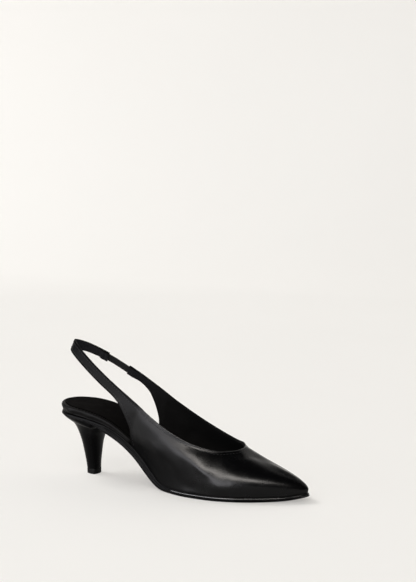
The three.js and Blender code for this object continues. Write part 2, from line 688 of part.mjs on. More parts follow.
// Heel section at a share of the height: a round back, straight sides and a flatter breast.
const heelNames = ['back', 'front', 'half', 'backRound', 'breastRound'];
const heelColumns = columns(heelRows, heelNames);
const seatHalf = ballWidth * outline.lateral(seatRound / shoeLength);
function heelRing(share, heightAt, grow = 0) {
  const shape = shapeAt(heelColumns, share);
  const back = shape.back * heelLength - grow;
  const depth = shape.front * heelLength + grow - back;
  return Array.from({ length: 2 * heelSteps }, (_, i) => {
    const angle = (Math.PI * i) / heelSteps;
    const along = shareOf(angle);
    const round = roundEnd(along, shape.backRound) * roundEnd(1 - along, shape.breastRound);
    const side = angle <= Math.PI ? lateral : medial;
    const x = back + along * depth;
    return new THREE.Vector3(x, side * (shape.half * seatHalf + grow) * round, heightAt(x));
  });
}

function ringStack(rings) {
  const shell = new Shell();
  shell.surface(rings.map((ring) => [...ring, ring[0]]), false);
  const across = (a, b) => Array.from({ length: capSteps + 1 }, (_, j) => a.clone().lerp(b, j / capSteps));
  const cap = (ring) => Array.from({ length: heelSteps + 1 }, (_, i) => (
    across(ring[i], ring[(2 * heelSteps - i) % (2 * heelSteps)])));
  shell.surface(cap(rings[0]), false);
  shell.surface(cap(rings[rings.length - 1]), true);
  return shell;
}

function heelShell() {
  const bottom = liftHeight + seam;
  const shareAt = column(numbered(heelRows.map((row) => ({ share: row.at }))), 'share');
  return ringStack(steps(0, heelRows.length - 1, 2).map(shareAt).map((share) => (
    heelRing(share, (x) => THREE.MathUtils.lerp(bottom, underside(x / shoeLength) - seam, share)))));
}

function topLiftShell() {
  return ringStack([
    heelRing(0, () => 0, -liftRound),
    heelRing(0, () => liftRound),
    heelRing(0, () => liftHeight),
  ]);
}

// A flat band that follows the strap between two topline rows, close under its top edge and in the
// middle of its folded ends. Extra makes it larger all round.
function strapBand(from, to, extra) {
  const width = elasticWidth + 2 * extra;
  const thickness = elasticThickness + 2 * extra;
  const depth = pocketWall + seam + elasticWidth / 2;
  const shell = new Shell();
  const rings = steps(from, to, bandSteps).map((row) => {
    const top = toplineAt(medial, row);
    const along = toplineAt(medial, row + rowStep).sub(toplineAt(medial, row - rowStep)).normalize();
    const rise = strapRise(medial, row).normalize();
    const outward = new THREE.Vector3().crossVectors(along, rise).normalize();
    if (outward.y < 0) outward.negate();
    const middle = top.addScaledVector(rise, -depth).addScaledVector(outward, -foldedEnd / 2);
    const corner = (up, out) => middle.clone().addScaledVector(rise, (up * width) / 2)
      .addScaledVector(outward, (out * thickness) / 2);
    return [corner(1, 1), corner(1, -1), corner(-1, -1), corner(-1, 1)];
  });
  shell.surface(rings.map((ring) => [...ring, ring[0]]), true);
  const ends = [rings[0], rings[rings.length - 1]].map((ring) => ring.map((point) => shell.vertex(point)));
  shell.quad(...ends[0]);
  shell.quad(...ends[1].reverse());
  return shell;
}

// The elastic, and the clearance round it that cuts a pocket into each end of the strap.
const elastic = (extra) => strapBand(
  medialRow(elasticFront + pocketDepth + extra),
  medialRow(elasticRear - pocketDepth - extra),
  extra,
).solid();

const leather = { color: 0x17171a, roughness: 0.32, metalness: 0 };
const finishes = {
  upper: leather,
  insole: { color: 0x1d191a, roughness: 0.75, metalness: 0 },
  outsole: { color: 0x111113, roughness: 0.5, metalness: 0 },
  heel: leather,
  top_lift: { color: 0x0c0c0d, roughness: 0.6, metalness: 0 },
  sling_elastic: { color: 0x121214, roughness: 0.85, metalness: 0 },
};

const solids = {
  upper: upperShell().solid().subtract(elastic(seam)),
  insole: insoleShell().solid(),
  outsole: outsoleShell().solid(),
  heel: heelShell().solid(),
  top_lift: topLiftShell().solid(),
  sling_elastic: elastic(0),
};

const shoe = new THREE.Group();
Object.entries(solids).forEach(([name, solid]) => {
  const { vertProperties, triVerts } = solid.getMesh();
  const geometry = new THREE.BufferGeometry();
  geometry.setAttribute('position', new THREE.BufferAttribute(vertProperties, 3));
  geometry.setIndex(new THREE.BufferAttribute(triVerts, 1));
  const mesh = new THREE.Mesh(geometry, new THREE.MeshStandardMaterial(finishes[name]));
  mesh.name = name;
  shoe.add(mesh);
});

// The origin is the bottom centre of the whole shoe.
const box = new THREE.Box3().setFromObject(shoe);
const centre = box.getCenter(new THREE.Vector3());
shoe.position.set(-centre.x, -centre.y, -box.min.z);

export default shoe;
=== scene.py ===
# %% [markdown]
# # A slingback pump in black calf
# The CAD part gives the shoe its form: upper with its heel strap, elastic, insole, outsole, heel and top
# lift. This notebook gives it the looks of the real shoe, piece by piece. Lengths are in metres, +X runs
# to the toe, +Y to the inner side of the foot, and the floor is at Z = 0.

# %% Load the frame
import math

import bpy
import numpy as np
from mathutils import Matrix, Vector
from mathutils.bvhtree import BVHTree
from mathutils.kdtree import KDTree


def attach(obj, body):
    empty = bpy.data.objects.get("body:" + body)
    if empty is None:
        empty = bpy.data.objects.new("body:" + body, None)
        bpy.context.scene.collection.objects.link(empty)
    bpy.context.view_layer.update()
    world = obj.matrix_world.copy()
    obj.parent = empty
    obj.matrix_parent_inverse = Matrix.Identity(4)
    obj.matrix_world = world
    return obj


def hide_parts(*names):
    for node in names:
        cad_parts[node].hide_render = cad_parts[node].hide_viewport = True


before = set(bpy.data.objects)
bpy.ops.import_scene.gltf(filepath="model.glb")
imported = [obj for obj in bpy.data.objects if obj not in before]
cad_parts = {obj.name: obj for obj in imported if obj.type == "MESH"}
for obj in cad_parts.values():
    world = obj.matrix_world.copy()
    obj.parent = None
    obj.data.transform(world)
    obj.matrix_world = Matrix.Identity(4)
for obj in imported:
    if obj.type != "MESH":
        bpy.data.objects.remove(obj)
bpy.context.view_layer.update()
MM = 0.001
print("CAD pieces:", sorted(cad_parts))

# %% [markdown]
# ## Copies to dress
# A CAD piece is made of flat facets, and it stays as it is. A copy of it is dressed: its loose corners
# are merged, and its triangles are joined back into four-sided faces, which a subdivision surface rounds
# far more evenly than triangles.

# %% Copy a CAD piece
MERGE = 0.002 * MM
FLAT_TURN = math.radians(40)


def activate(piece):
    """Makes a piece the only selected and active one."""
    bpy.ops.object.select_all(action="DESELECT")
    piece.select_set(True)
    bpy.context.view_layer.objects.active = piece


def merged_copy(node, name):
    """A copy of a CAD piece with shared corners and mostly four-sided faces, shown in its place."""
    piece = bpy.data.objects.new(name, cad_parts[node].data.copy())
    piece.data.name = name
    bpy.context.scene.collection.objects.link(piece)
    piece.data.materials.clear()
    activate(piece)
    bpy.ops.object.mode_set(mode="EDIT")
    bpy.ops.mesh.select_all(action="SELECT")
    bpy.ops.mesh.remove_doubles(threshold=MERGE)
    bpy.ops.mesh.normals_make_consistent(inside=False)
    bpy.ops.mesh.tris_convert_to_quads(face_threshold=FLAT_TURN, shape_threshold=math.pi)
    bpy.ops.object.mode_set(mode="OBJECT")
    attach(piece, "root")
    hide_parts(node)
    print(name, "starts with", len(piece.data.polygons), "faces")
    return piece


# %% [markdown]
# Where the form turns sharply, the edges are creased before the rounding, so that they stay crisp.
# Rounding also draws corners in, which would thin a strap or blunt a toe. So each corner is first moved
# out by as much, and in the end nothing may stand outside the piece's own box.

# %% Round a copy
SMOOTH_TURN = math.radians(50)


def edge_turns(mesh):
    """The faces beside each edge, and how far the form turns there in degrees, by the edge's corners."""
    beside = {}
    for face in mesh.polygons:
        for key in face.edge_keys:
            beside.setdefault(key, []).append(face.index)
    turns = {}
    for key, faces in beside.items():
        one, other = (mesh.polygons[i].normal for i in (faces[0], faces[-1]))
        turns[key] = math.degrees(one.angle(other, 0.0))
    return beside, turns


def sharp_edges(piece, turn, crease):
    """A rule that creases the edges at which the piece, as it is now, turns by more than some degrees."""
    turns = edge_turns(piece.data)[1]
    return lambda edge: crease if turns[edge.key] > turn else 0.0


def refine(piece, levels, crease=lambda edge: 0.0, rounds=3):
    """Creases a piece by a rule, rounds it with a subdivision surface, and keeps it in its own box."""
    sharpness = piece.data.attributes.new("crease_edge", "FLOAT", "EDGE")
    for edge in piece.data.edges:
        sharpness.data[edge.index].value = crease(edge)
    activate(piece)
    rounding = piece.modifiers.new("rounding", "SUBSURF")
    rounding.levels = rounding.render_levels = levels
    goal = [corner.co.copy() for corner in piece.data.vertices]
    for _ in range(rounds):
        rounded = piece.evaluated_get(bpy.context.evaluated_depsgraph_get()).data.vertices
        missing = [place - rounded[i].co for i, place in enumerate(goal)]
        for corner, move in zip(piece.data.vertices, missing):
            corner.co += move
        piece.data.update()
    bpy.ops.object.modifier_apply(modifier=rounding.name)
    bpy.ops.object.shade_smooth_by_angle(angle=SMOOTH_TURN)
    corners = np.array([corner.co[:] for corner in piece.data.vertices])
    kept = np.clip(corners, np.array(goal).min(0), np.array(goal).max(0))
    piece.data.vertices.foreach_set("co", kept.ravel())
    print(piece.name, len(kept), "corners, from", kept.min(0) / MM, "to", kept.max(0) / MM)


# %% [markdown]
# ## Leather and its finishes
# A finish is a procedural material: nodes that give the colour, the gloss and the relief at each place
# from noise and other patterns, with no picture. This small class adds such nodes in one line each, so
# that the finishes below read like a recipe.

# %% A finish built from nodes
class Finish:
    """A procedural material, to which layers of colour, gloss and relief are added."""

    def __init__(self, name, color, roughness):
        self.material = bpy.data.materials.new(name)
        self.material.use_nodes = True
        self.nodes = self.material.node_tree.nodes
        self.links = self.material.node_tree.links
        self.shader = self.nodes["Principled BSDF"]
        self.shader.inputs["Base Color"].default_value = (*color, 1)
        self.shader.inputs["Roughness"].default_value = roughness
        self.place = self.nodes.new("ShaderNodeTexCoord").outputs["Object"]
        self.relief = None

    def node(self, kind, *values, **named):
        """Adds a node. Values go to its sockets in order, as links or as numbers. None skips one."""
        node = self.nodes.new("ShaderNode" + kind)
        for name, value in [*enumerate(values), *named.items()]:
            socket = node.inputs[name]
            if isinstance(value, bpy.types.NodeSocket):
                self.links.new(value, socket)
            elif value is not None:
                socket.default_value = value
        return node

    def clouds(self, size, detail=3.0):
        """Noise with blotches about size across, stretched to run from 0 to 1."""
        noise = self.node("TexNoise", Vector=self.place, Scale=1 / size, Detail=detail)
        return self.ramp(noise.outputs["Fac"], 0.3, 0.7)

    def ramp(self, value, start, end, low=0.0, high=1.0):
        """Maps start to low and end to high."""
        return self.node("MapRange", value, start, end, low, high).outputs[0]

    def blend(self, share, first, second):
        """A colour between two, each of which is a colour or the output of a node."""
        node = self.node("Mix", share)
        node.data_type = "RGBA"
        for socket, color in ((node.inputs[6], first), (node.inputs[7], second)):
            if isinstance(color, bpy.types.NodeSocket):
                self.links.new(color, socket)
            else:
                socket.default_value = (*color, 1)
        return node.outputs[2]

    def field(self, name):
        """A number stored on the piece's corners."""
        node = self.nodes.new("ShaderNodeAttribute")
        node.attribute_name = name
        return node.outputs["Fac"]

    def math(self, operation, *values):
        """A sum, product or the like of outputs and numbers."""
        node = self.node("Math", *values)
        node.operation = operation
        return node.outputs[0]

    def press(self, height, depth):
        """Adds a layer of relief: a height of 1 stands depth above a height of 0."""
        bump = self.node("Bump", Height=height, Distance=depth, Strength=1.0)
        if self.relief:
            self.links.new(self.relief, bump.inputs["Normal"])
        self.relief = bump.outputs["Normal"]
        self.feed("Normal", self.relief)

    def feed(self, socket, value):
        """Lets an output set one of the shader's sockets."""
        self.links.new(value, self.shader.inputs[socket])

    def fed(self, socket):
        """The output that sets one of the shader's sockets by now."""
        return self.shader.inputs[socket].links[0].from_socket


# %% [markdown]
# Smooth calf is a dyed hide under a thin glossy dressing: nearly black, with a soft sheen that varies a
# little over the skin, and fine pores. A large noise shifts the colour, a middling one the gloss, and a
# fine cell pattern presses the pores in. The same recipe, with other numbers, makes the lining, the sock,
# the painted edges, the sole leather and the thread.

# %% Leather, and the calf of the upper
BLOTCH, PATCH, GRAIN = 30 * MM, 8 * MM, 2.4 * MM


def leather(name, dark, light, gloss, pore, depth, shine=0.2):
    """A dyed leather: colour and roughness in soft clouds, pores, and a slight unevenness."""
    finish = Finish(name, dark, gloss[0])
    finish.shader.inputs["Specular IOR Level"].default_value = shine
    finish.feed("Base Color", finish.blend(finish.clouds(BLOTCH), dark, light))
    finish.feed("Roughness", finish.ramp(finish.clouds(PATCH), 0, 1, *gloss))
    cells = finish.node("TexVoronoi", Vector=finish.place, Scale=1 / pore)
    finish.press(cells.outputs["Distance"], depth)
    finish.press(finish.clouds(GRAIN, 2.0), depth)
    return finish


CALF_SHINE = 0.13
calf = leather(
    "calf", dark=(0.0012, 0.0012, 0.0015), light=(0.002, 0.002, 0.0024),
    gloss=(0.22, 0.29), pore=0.45 * MM, depth=0.012 * MM, shine=CALF_SHINE,
)
print("finish:", calf.material.name)

# %% [markdown]
# The gloss differs over the calf. Towards the heel the skin gets rougher, and its shine drops a little,
# which is painted shade. Low on the quarter the shine is cut much further: painted shade for the dark
# floor this part would mirror. Handling has dulled the strap, and right along its edges the shine is cut
# away, a painted shade that draws a dark line round it. Ramps over the height and the length of the shoe
# say where, and another reads the way to the rim, which is stored on the skin further down. Each lowers
# the gloss by its own share.

# %% Dull the calf towards the strap and the heel, and paint shade into its shine
STRAP_RISE = (66 * MM, 84 * MM)
HEELWARD = (40 * MM, -20 * MM)
# Painted shade is placed by the low ramps and their share, by the heel's shine, and by the rim span along the
# strap's edges.
LOW_RISE, LOW_LEAN = (44 * MM, 33 * MM), 0.25
DARK_RIM_SPAN = (1.3, 0.4)
ROUGHER_STRAP, ROUGHER_HEEL = 0.2, 0.22
HEEL_SHINE, LOW_SHADE_SHARE = 0.12, 0.15
STRAP_START, STRAP_SHARE = 0.3, 0.42

spread = calf.node("SeparateXYZ", calf.place)
along, up = spread.outputs["X"], spread.outputs["Z"]
on_strap = calf.ramp(up, *STRAP_RISE)
to_heel = calf.ramp(along, *HEELWARD)
leaning = calf.math("ADD", up, calf.math("MULTIPLY", along, LOW_LEAN))
# Painted shade: the low part of the quarter, more so towards the heel.
painted_shade_low = calf.math("MULTIPLY", to_heel, calf.ramp(leaning, *LOW_RISE))
# Painted shade: right at the strap's edges the shine is cut away, which draws a dark line round the strap.
painted_dark_rim = calf.math("MULTIPLY", on_strap, calf.ramp(calf.field("rim"), *DARK_RIM_SPAN))

strap_part = calf.math("MULTIPLY", on_strap, ROUGHER_STRAP)
heel_part = calf.math("MULTIPLY", to_heel, ROUGHER_HEEL)
rougher = calf.math("MAXIMUM", strap_part, heel_part)
calf.feed("Roughness", calf.math("ADD", calf.fed("Roughness"), rougher))
# The shine drops a little towards the heel: painted shade.
shine = calf.ramp(to_heel, 0.0, 1.0, CALF_SHINE, HEEL_SHINE)
# Each share cuts the shine: along the strap's edges and low on the quarter it is painted shade, on the strap
# as a whole it is dulling by handling.
for share in (
    calf.ramp(painted_dark_rim, 0.0, 1.0, 1.0, 0.0),
    calf.ramp(painted_shade_low, 0.0, 1.0, 1.0, LOW_SHADE_SHARE),
    calf.ramp(on_strap, STRAP_START, 1.0, 1.0, STRAP_SHARE),
):
    shine = calf.math("MULTIPLY", shine, share)
calf.feed("Specular IOR Level", shine)
print("calf nodes:", len(calf.nodes))

# %% [markdown]
# Inside, the upper is lined with soft leather without any dressing, so it hardly shines. Up on the strap
# its nap is rubbed to a mottled grey. The narrow cut edge between the two skins is matt too.

# %% Lining and cut edge
GREY_RISE = (70 * MM, 92 * MM)
NAP = 1.4 * MM
lining = leather(
    "lining", dark=(0.0016, 0.0012, 0.0011), light=(0.003, 0.0024, 0.0022),
    gloss=(0.8, 0.9), pore=0.6 * MM, depth=0.03 * MM, shine=0.05,
)
height = lining.node("SeparateXYZ", lining.place).outputs["Z"]
rubbed = lining.blend(lining.clouds(NAP), (0.009, 0.009, 0.011), (0.024, 0.024, 0.028))
lining.feed("Base Color", lining.blend(lining.ramp(height, *GREY_RISE), lining.fed("Base Color"), rubbed))
cut_edge = leather(
    "cut_edge", dark=(0.001, 0.001, 0.0012), light=(0.0018, 0.0018, 0.002),
    gloss=(0.55, 0.7), pore=0.4 * MM, depth=0.02 * MM, shine=0.05,
)
print("finishes:", lining.material.name, cut_edge.material.name)

# %% [markdown]
# ## Upper
# The upper is one skin of calf over a lining, folded in at its free edge. On the copy, the line where it
# meets the sole stays sharp and the folded edge is rounded. To tell skin from lining, a face that is
# surely outside is flooded: every neighbour that the form turns to only gently belongs to the same skin.

# %% Copy the upper and find its skins
EDGE_TURN = 52
SIDEWAYS = 0.9
SKIN, LINING, EDGE = 0, 1, 2
upper = merged_copy("upper", "upper_skin")
for finish in (calf, lining, cut_edge):
    upper.data.materials.append(finish.material)
beside, turns = edge_turns(upper.data)


def flood(first):
    """All faces that a gentle path joins to the first one."""
    found = {first}
    queue = [first]
    while queue:
        for key in upper.data.polygons[queue.pop()].edge_keys:
            if turns[key] < EDGE_TURN:
                fresh = set(beside[key]) - found
                found |= fresh
                queue += fresh
    return found


def outermost(side):
    """The face farthest to the outer side of the foot, of those that look out (-1) or in (1)."""
    looking = [face for face in upper.data.polygons if side * face.normal.y > SIDEWAYS]
    return min(looking, key=lambda face: face.center.y).index


skin = flood(outermost(-1))
inside = flood(outermost(1))
for face in upper.data.polygons:
    face.material_index = LINING if face.index in inside else SKIN if face.index in skin else EDGE
print("skin", len(skin), "lining", len(inside), "of", len(upper.data.polygons))

# %% [markdown]
# The rim is where the skin stops. Its free part, clear of the sole, runs from one foot corner up the back
# of the quarter, round the strap, along the throat, and down to the other corner. It is sorted into one
# line here, before the copy is rounded, and later guides the stitches, the cord and the dips beside them.

# %% Follow the free rim
TOUCHING = 0.8 * MM
sole_tree = BVHTree.FromObject(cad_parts["outsole"], bpy.context.evaluated_depsgraph_get())


def on_sole(corner):
    return sole_tree.find_nearest(upper.data.vertices[corner].co)[3] < TOUCHING


rim = {}
for key, faces in beside.items():
    if len(skin.intersection(faces)) == 1 and not all(on_sole(corner) for corner in key):
        for corner, other in (key, reversed(key)):
            rim.setdefault(corner, []).append(other)
corner = min(corner for corner, others in rim.items() if len(others) == 1)
line = [corner]
while True:
    ahead = [other for other in rim[line[-1]] if other not in line[-2:]]
    if not ahead:
        break
    line.append(ahead[0])
rim_line = [upper.data.vertices[corner].co.copy() for corner in line]
rim_out = []
for corner in line:
    around = [face.normal for face in upper.data.polygons if face.index in skin and corner in face.vertices]
    rim_out.append(sum(around, Vector()).normalized())
print("rim:", len(rim_line), "of", len(rim), "corners")

# %% [markdown]
# Where the quarter's edge leaves the sole, the coarse facets turn a little abruptly. Their corners are
# evened out there, in and out by turns so that the form doesn't shrink, while the rim and the sole line
# stay put. Then the copy is rounded and its folded edge gets a small bevel.

# %% Even out the quarters and round the upper
QUARTER = (-80 * MM, 20 * MM)
PASSES, EVEN_IN, EVEN_OUT = 8, 0.5, -0.51
FOLDED_EDGE = 0.5 * MM


def bevel_edges(piece, width, turn):
    """Bevels the edges at which a piece turns by more than an angle."""
    activate(piece)
    bevel = piece.modifiers.new("bevelled_edge", "BEVEL")
    bevel.width, bevel.segments = width, 2
    bevel.limit_method, bevel.angle_limit = "ANGLE", turn
    bpy.ops.object.modifier_apply(modifier=bevel.name)


held = {corner for face in upper.data.polygons if face.material_index == EDGE for corner in face.vertices}
activate(upper)
bpy.context.tool_settings.mesh_select_mode = (True, False, False)
for item in (*upper.data.edges, *upper.data.polygons):
    item.select = False
for corner in upper.data.vertices:
    within = QUARTER[0] < corner.co.x < QUARTER[1]
    corner.select = corner.index not in held and within and not on_sole(corner.index)
bpy.ops.object.mode_set(mode="EDIT")
for _ in range(PASSES):
    bpy.ops.mesh.vertices_smooth(factor=EVEN_IN)
    bpy.ops.mesh.vertices_smooth(factor=EVEN_OUT)
bpy.ops.object.mode_set(mode="OBJECT")
refine(upper, levels=2, crease=lambda edge: 0.0 if turns[edge.key] < EDGE_TURN else 1.0)
bevel_edges(upper, FOLDED_EDGE, math.radians(EDGE_TURN))

# %% [markdown]
# ## Hem and stitches
# The folded edge is sewn down with one row of stitches, a little in from the rim: closer on the narrow
# strap than on the quarters. Stitches could be painted, but real thread catches light, so one stitch is
# modelled and copied along the row. The leather is drawn down under it, which the material does from two
# numbers stored on the skin: the distance to the rim, and the distance at which the row runs.

# %% Lay out the hem
STRAP_HEM = 1.9 * MM
QUARTER_HEM = 2.8 * MM
STRAP_HEIGHT = (70 * MM, 92 * MM)
SPOT = 0.4 * MM


def hem_at(place):
    """How far in from the rim the row runs. It narrows with height, from the quarter to the strap."""
    return float(np.interp(place.z, STRAP_HEIGHT, (QUARTER_HEM, STRAP_HEM)))


def evenly(line, step, *others):
    """The points of a line at even steps, and any other lists that go with it."""
    reach = np.concatenate([[0], np.cumsum(np.linalg.norm(np.diff(np.array(line), axis=0), axis=1))])
    marks = np.arange(0, reach[-1], step)
    lists = [np.stack([np.interp(marks, reach, column) for column in np.array(each).T], 1)
             for each in (line, *others)]
    return [[Vector(item) for item in each] for each in lists]


rim_spots, rim_ways = evenly(rim_line, SPOT, rim_out)
rim_tree = KDTree(len(rim_spots))
for i, spot in enumerate(rim_spots):
    rim_tree.insert(spot, i)
rim_tree.balance()
print("rim length in mm:", round(len(rim_spots) * SPOT / MM))

# %% [markdown]
# ## Creases
# Leather that is pulled over a last and then worn keeps soft folds: across the joint of the toes, and
# where the quarter is drawn back by the strap. Each fold is a low ridge or trough along a line drawn on
# the side of the shoe. It is pressed into both skins alike. It dies out before the rim, the
# vamp's ridge and the sole, and a ridge also dies out where the shoe is widest. The tight topline draws
# the leather in a little just below it, so a shallow dip follows the rim there.

# %% Press the creases
FOLDS = [  # from x, z to x, z, then height and half width, all in mm
    (45, 36, 61, 19, -0.3, 5.5),
    (-14, 62, 4, 38, 0.4, 5.0),
    (-31, 64, -24, 34, -0.4, 4.5),
    (12, 48, 20, 33, -0.25, 4.0),
    (-6, 47, 6, 24, -0.3, 4.5),
    (30, 40, 40, 22, 0.2, 4.0),
    (-40, 49, -4, 40, 1.0, 7.5),
    (-2, 41, 18, 32, 0.8, 7.0),
    (18, 33, 42, 25, 1.0, 7.5),
    (-24, 30, -12, 18, 0.25, 3.5),
]
RIM_FADE, RIDGE_FADE, SOLE_FADE = 8, 15, 12
WIDEST, WIDEST_FADE = 35.2, 1.5
DIP, DIP_IN, DIP_ALONG = 0.7, 3, (-5, 15, 45, 70)

corners = np.array([corner.co[:] for corner in upper.data.vertices]) / MM
side_view, out = corners[:, [0, 2]], np.abs(corners[:, 1])
pressed = np.zeros(len(corners))
for x, z, to_x, to_z, rise, half in FOLDS:
    start, run = np.array((x, z)), np.array((to_x - x, to_z - z))
    share = np.clip((side_view - start) @ run / (run @ run), 0, 1)[:, None]
    away = np.linalg.norm(side_view - start - share * run, axis=1)
    pressed += rise * np.exp(-((away / half) ** 2))
to_rim = np.array([rim_tree.find(corner.co)[2] for corner in upper.data.vertices]) / MM
for clearance, fade in ((to_rim, RIM_FADE), (out, RIDGE_FADE), (corners[:, 2], SOLE_FADE)):
    pressed *= np.clip(clearance / fade, 0, 1)
pressed = np.where(pressed > 0, pressed * np.clip((WIDEST - out) / WIDEST_FADE, 0, 1), pressed)
along_topline = np.interp(corners[:, 0], DIP_ALONG, (0, 1, 1, 0))
pressed -= DIP * along_topline * (to_rim / DIP_IN) * np.exp(1 - to_rim / DIP_IN)
for corner, move in zip(upper.data.vertices, pressed):
    corner.co.y += move * math.copysign(MM, corner.co.y)
print("folds:", len(FOLDS), "deepest in mm:", pressed.min().round(2), "highest:", pressed.max().round(2))

# %% [markdown]
# Now that the skin has its final form, each of its corners is told its way to the rim, and how far in the
# row of stitches runs there. Where the two are alike, the calf is drawn down by a few hundredths of a
# millimetre.

# %% Number the corners by their way to the rim
GROOVE, GROOVE_DEPTH = (0.1, 0.8), 0.035 * MM


def number_corners(piece, name, values):
    """Stores one number per corner of a mesh, which a material can read by name."""
    field = piece.data.attributes.new(name, "FLOAT", "POINT")
    field.data.foreach_set("value", np.asarray(values, np.float32))


nearest = [rim_tree.find(corner.co) for corner in upper.data.vertices]
number_corners(upper, "rim", [hit[2] / MM for hit in nearest])
number_corners(upper, "hem", [hem_at(hit[0]) / MM for hit in nearest])
off_row = calf.math("ABSOLUTE", calf.math("SUBTRACT", calf.field("rim"), calf.field("hem")))
calf.press(calf.ramp(off_row, *GROOVE), GROOVE_DEPTH)
print("numbered corners:", len(nearest))

# %% [markdown]
# The row is found on the rounded skin: step in from each rim point along the skin, drop onto its surface,
# and keep the places that are no closer to any other part of the rim, as an offset line does.

# %% Find the row on the skin
LIFT_OFF = 0.5 * MM
CLEAR_OF_RIM = 0.92
skin_tree = BVHTree.FromPolygons(
    [corner.co for corner in upper.data.vertices],
    [face.vertices[:] for face in upper.data.polygons if face.material_index == SKIN],
)


def row_place(i, side):
    """The place of the row beside rim point i, and the way out of the skin there."""
    ahead = rim_spots[i + 2] - rim_spots[i - 2]
    step = side * rim_ways[i].cross(ahead).normalized() * hem_at(rim_spots[i])
    return skin_tree.find_nearest(rim_spots[i] + step + LIFT_OFF * rim_ways[i])[:2]


middle = len(rim_spots) // 3
inner_side = max((-1, 1), key=lambda side: rim_tree.find(row_place(middle, side)[0])[2])
row = [row_place(i, inner_side) for i in range(2, len(rim_spots) - 2)]
row = [(place, out) for place, out in row if rim_tree.find(place)[2] > CLEAR_OF_RIM * hem_at(place)]
print("row places:", len(row))

# %% [markdown]
# A stitch of twisted thread is a short bead, half sunk in the leather. One is made from a small sphere,
# drawn out to the thread's length and thickness.

# %% One stitch
PITCH = 2.7 * MM
THREAD = (1.0 * MM, 0.3 * MM, 0.3 * MM)
RAISED = 0.05 * MM
thread = leather(
    "thread", dark=(0.007, 0.007, 0.008), light=(0.012, 0.012, 0.013),
    gloss=(0.35, 0.45), pore=0.25 * MM, depth=0.02 * MM, shine=0.16,
)
bpy.ops.mesh.primitive_uv_sphere_add(segments=8, ring_count=6, radius=1)
stitch = bpy.context.object
stitch.data.transform(Matrix.Diagonal((*THREAD, 1)))
bpy.ops.object.shade_smooth()
stitch.data.materials.append(thread.material)
print("stitch:", len(stitch.data.polygons), "faces")

# %% [markdown]
# A sewing machine feeds the leather on by the same length at every stitch. So a copy is set down each
# time the row has gone on by that length, turned to lie along the row and flat on the skin. Where the
# row jumps, no stitch spans the gap. In the end the copies are joined into one piece.

# %% Copy the stitch along the row
copies = []
gone = PITCH
for (place, out), (after, _) in zip(row, row[1:]):
    ahead = after - place
    hop = ahead.length
    gone += hop
    if hop < PITCH and gone >= PITCH:
        along_row = (ahead - ahead.dot(out) * out).normalized()
        turn = Matrix((along_row, out.cross(along_row), out)).transposed().to_4x4()
        copy = bpy.data.objects.new("hem_stitches", stitch.data.copy())
        copy.data.transform(Matrix.Translation(place + RAISED * out) @ turn)
        bpy.context.scene.collection.objects.link(copy)
        copies.append(copy)
        gone = 0
hem_stitches = copies[0]
activate(hem_stitches)
for copy in copies:
    copy.select_set(True)
print(hem_stitches.name, len(copies), "stitches")
bpy.ops.object.join()
bpy.data.objects.remove(stitch)
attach(hem_stitches, "root")

# %% [markdown]
# ## Cord in the topline
# A thin cord lies folded into the topline, from one side round the throat to the other. It keeps the
# opening from stretching, and shows as a fine rounded line. It is a flat grid, each row of which is
# rolled round one point of the rim. Towards the strap it gets thinner, until the fold swallows it.

# %% Choose the stops of the cord
CORD = 0.5 * MM
CORD_STEP = 3
CORD_SIDES = 8
CORD_TOP, CORD_TAPER, CORD_THINNEST = 78 * MM, 12 * MM, 0.15
CORD_IN, CORD_SUNK = 0.8, 0.1 * MM
throat = max(range(len(rim_spots)), key=lambda i: rim_spots[i].x)
first = last = throat
while rim_spots[first - 1].z < CORD_TOP:
    first -= 1
while rim_spots[last + 1].z < CORD_TOP:
    last += 1
stops = list(range(first + 2, last - 2, CORD_STEP))
print("cord stops:", len(stops))

# %% [markdown]
# A row's corners are turned round a point just inside the rim, once about. So the two long sides of the
# grid meet, and merging them closes the cord.

# %% Roll the cord
bpy.ops.mesh.primitive_grid_add(x_subdivisions=len(stops) - 1, y_subdivisions=CORD_SIDES, size=2)
cord = bpy.context.object
cord.name = cord.data.name = "topline_cord"
for corner in cord.data.vertices:
    i = stops[round((corner.co.x + 1) / 2 * (len(stops) - 1))]
    turn = math.pi * corner.co.y
    ahead = (rim_spots[i + 2] - rim_spots[i - 2]).normalized()
    out = (rim_ways[i] - rim_ways[i].dot(ahead) * ahead).normalized()
    inward = inner_side * out.cross(ahead)
    radius = CORD * min(1, max(CORD_THINNEST, (CORD_TOP - rim_spots[i].z) / CORD_TAPER))
    heart = rim_spots[i] + CORD_IN * radius * inward - CORD_SUNK * out
    corner.co = heart + radius * (math.cos(turn) * out + math.sin(turn) * inward)
activate(cord)
bpy.ops.object.mode_set(mode="EDIT")
bpy.ops.mesh.select_all(action="SELECT")
bpy.ops.mesh.remove_doubles(threshold=MERGE)
bpy.ops.mesh.normals_make_consistent(inside=False)
bpy.ops.object.mode_set(mode="OBJECT")
bpy.ops.object.shade_smooth()
piping = leather(
    "piping", dark=(0.0016, 0.0016, 0.0018), light=(0.003, 0.003, 0.0033),
    gloss=(0.3, 0.4), pore=0.5 * MM, depth=0.02 * MM, shine=0.3,
)
cord.data.materials.append(piping.material)
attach(cord, "root")
print("cord:", len(cord.data.polygons), "faces")

# %% [markdown]
# ## Elastic
# A short woven elastic closes the strap on the inner side. Its cords run lengthwise and show as fine
# ribs. The copy is cut into narrow lanes across its width: the edges that span it, the long ones, are
# subdivided alone. Every other line of corners is then lifted, and the rest is lowered.

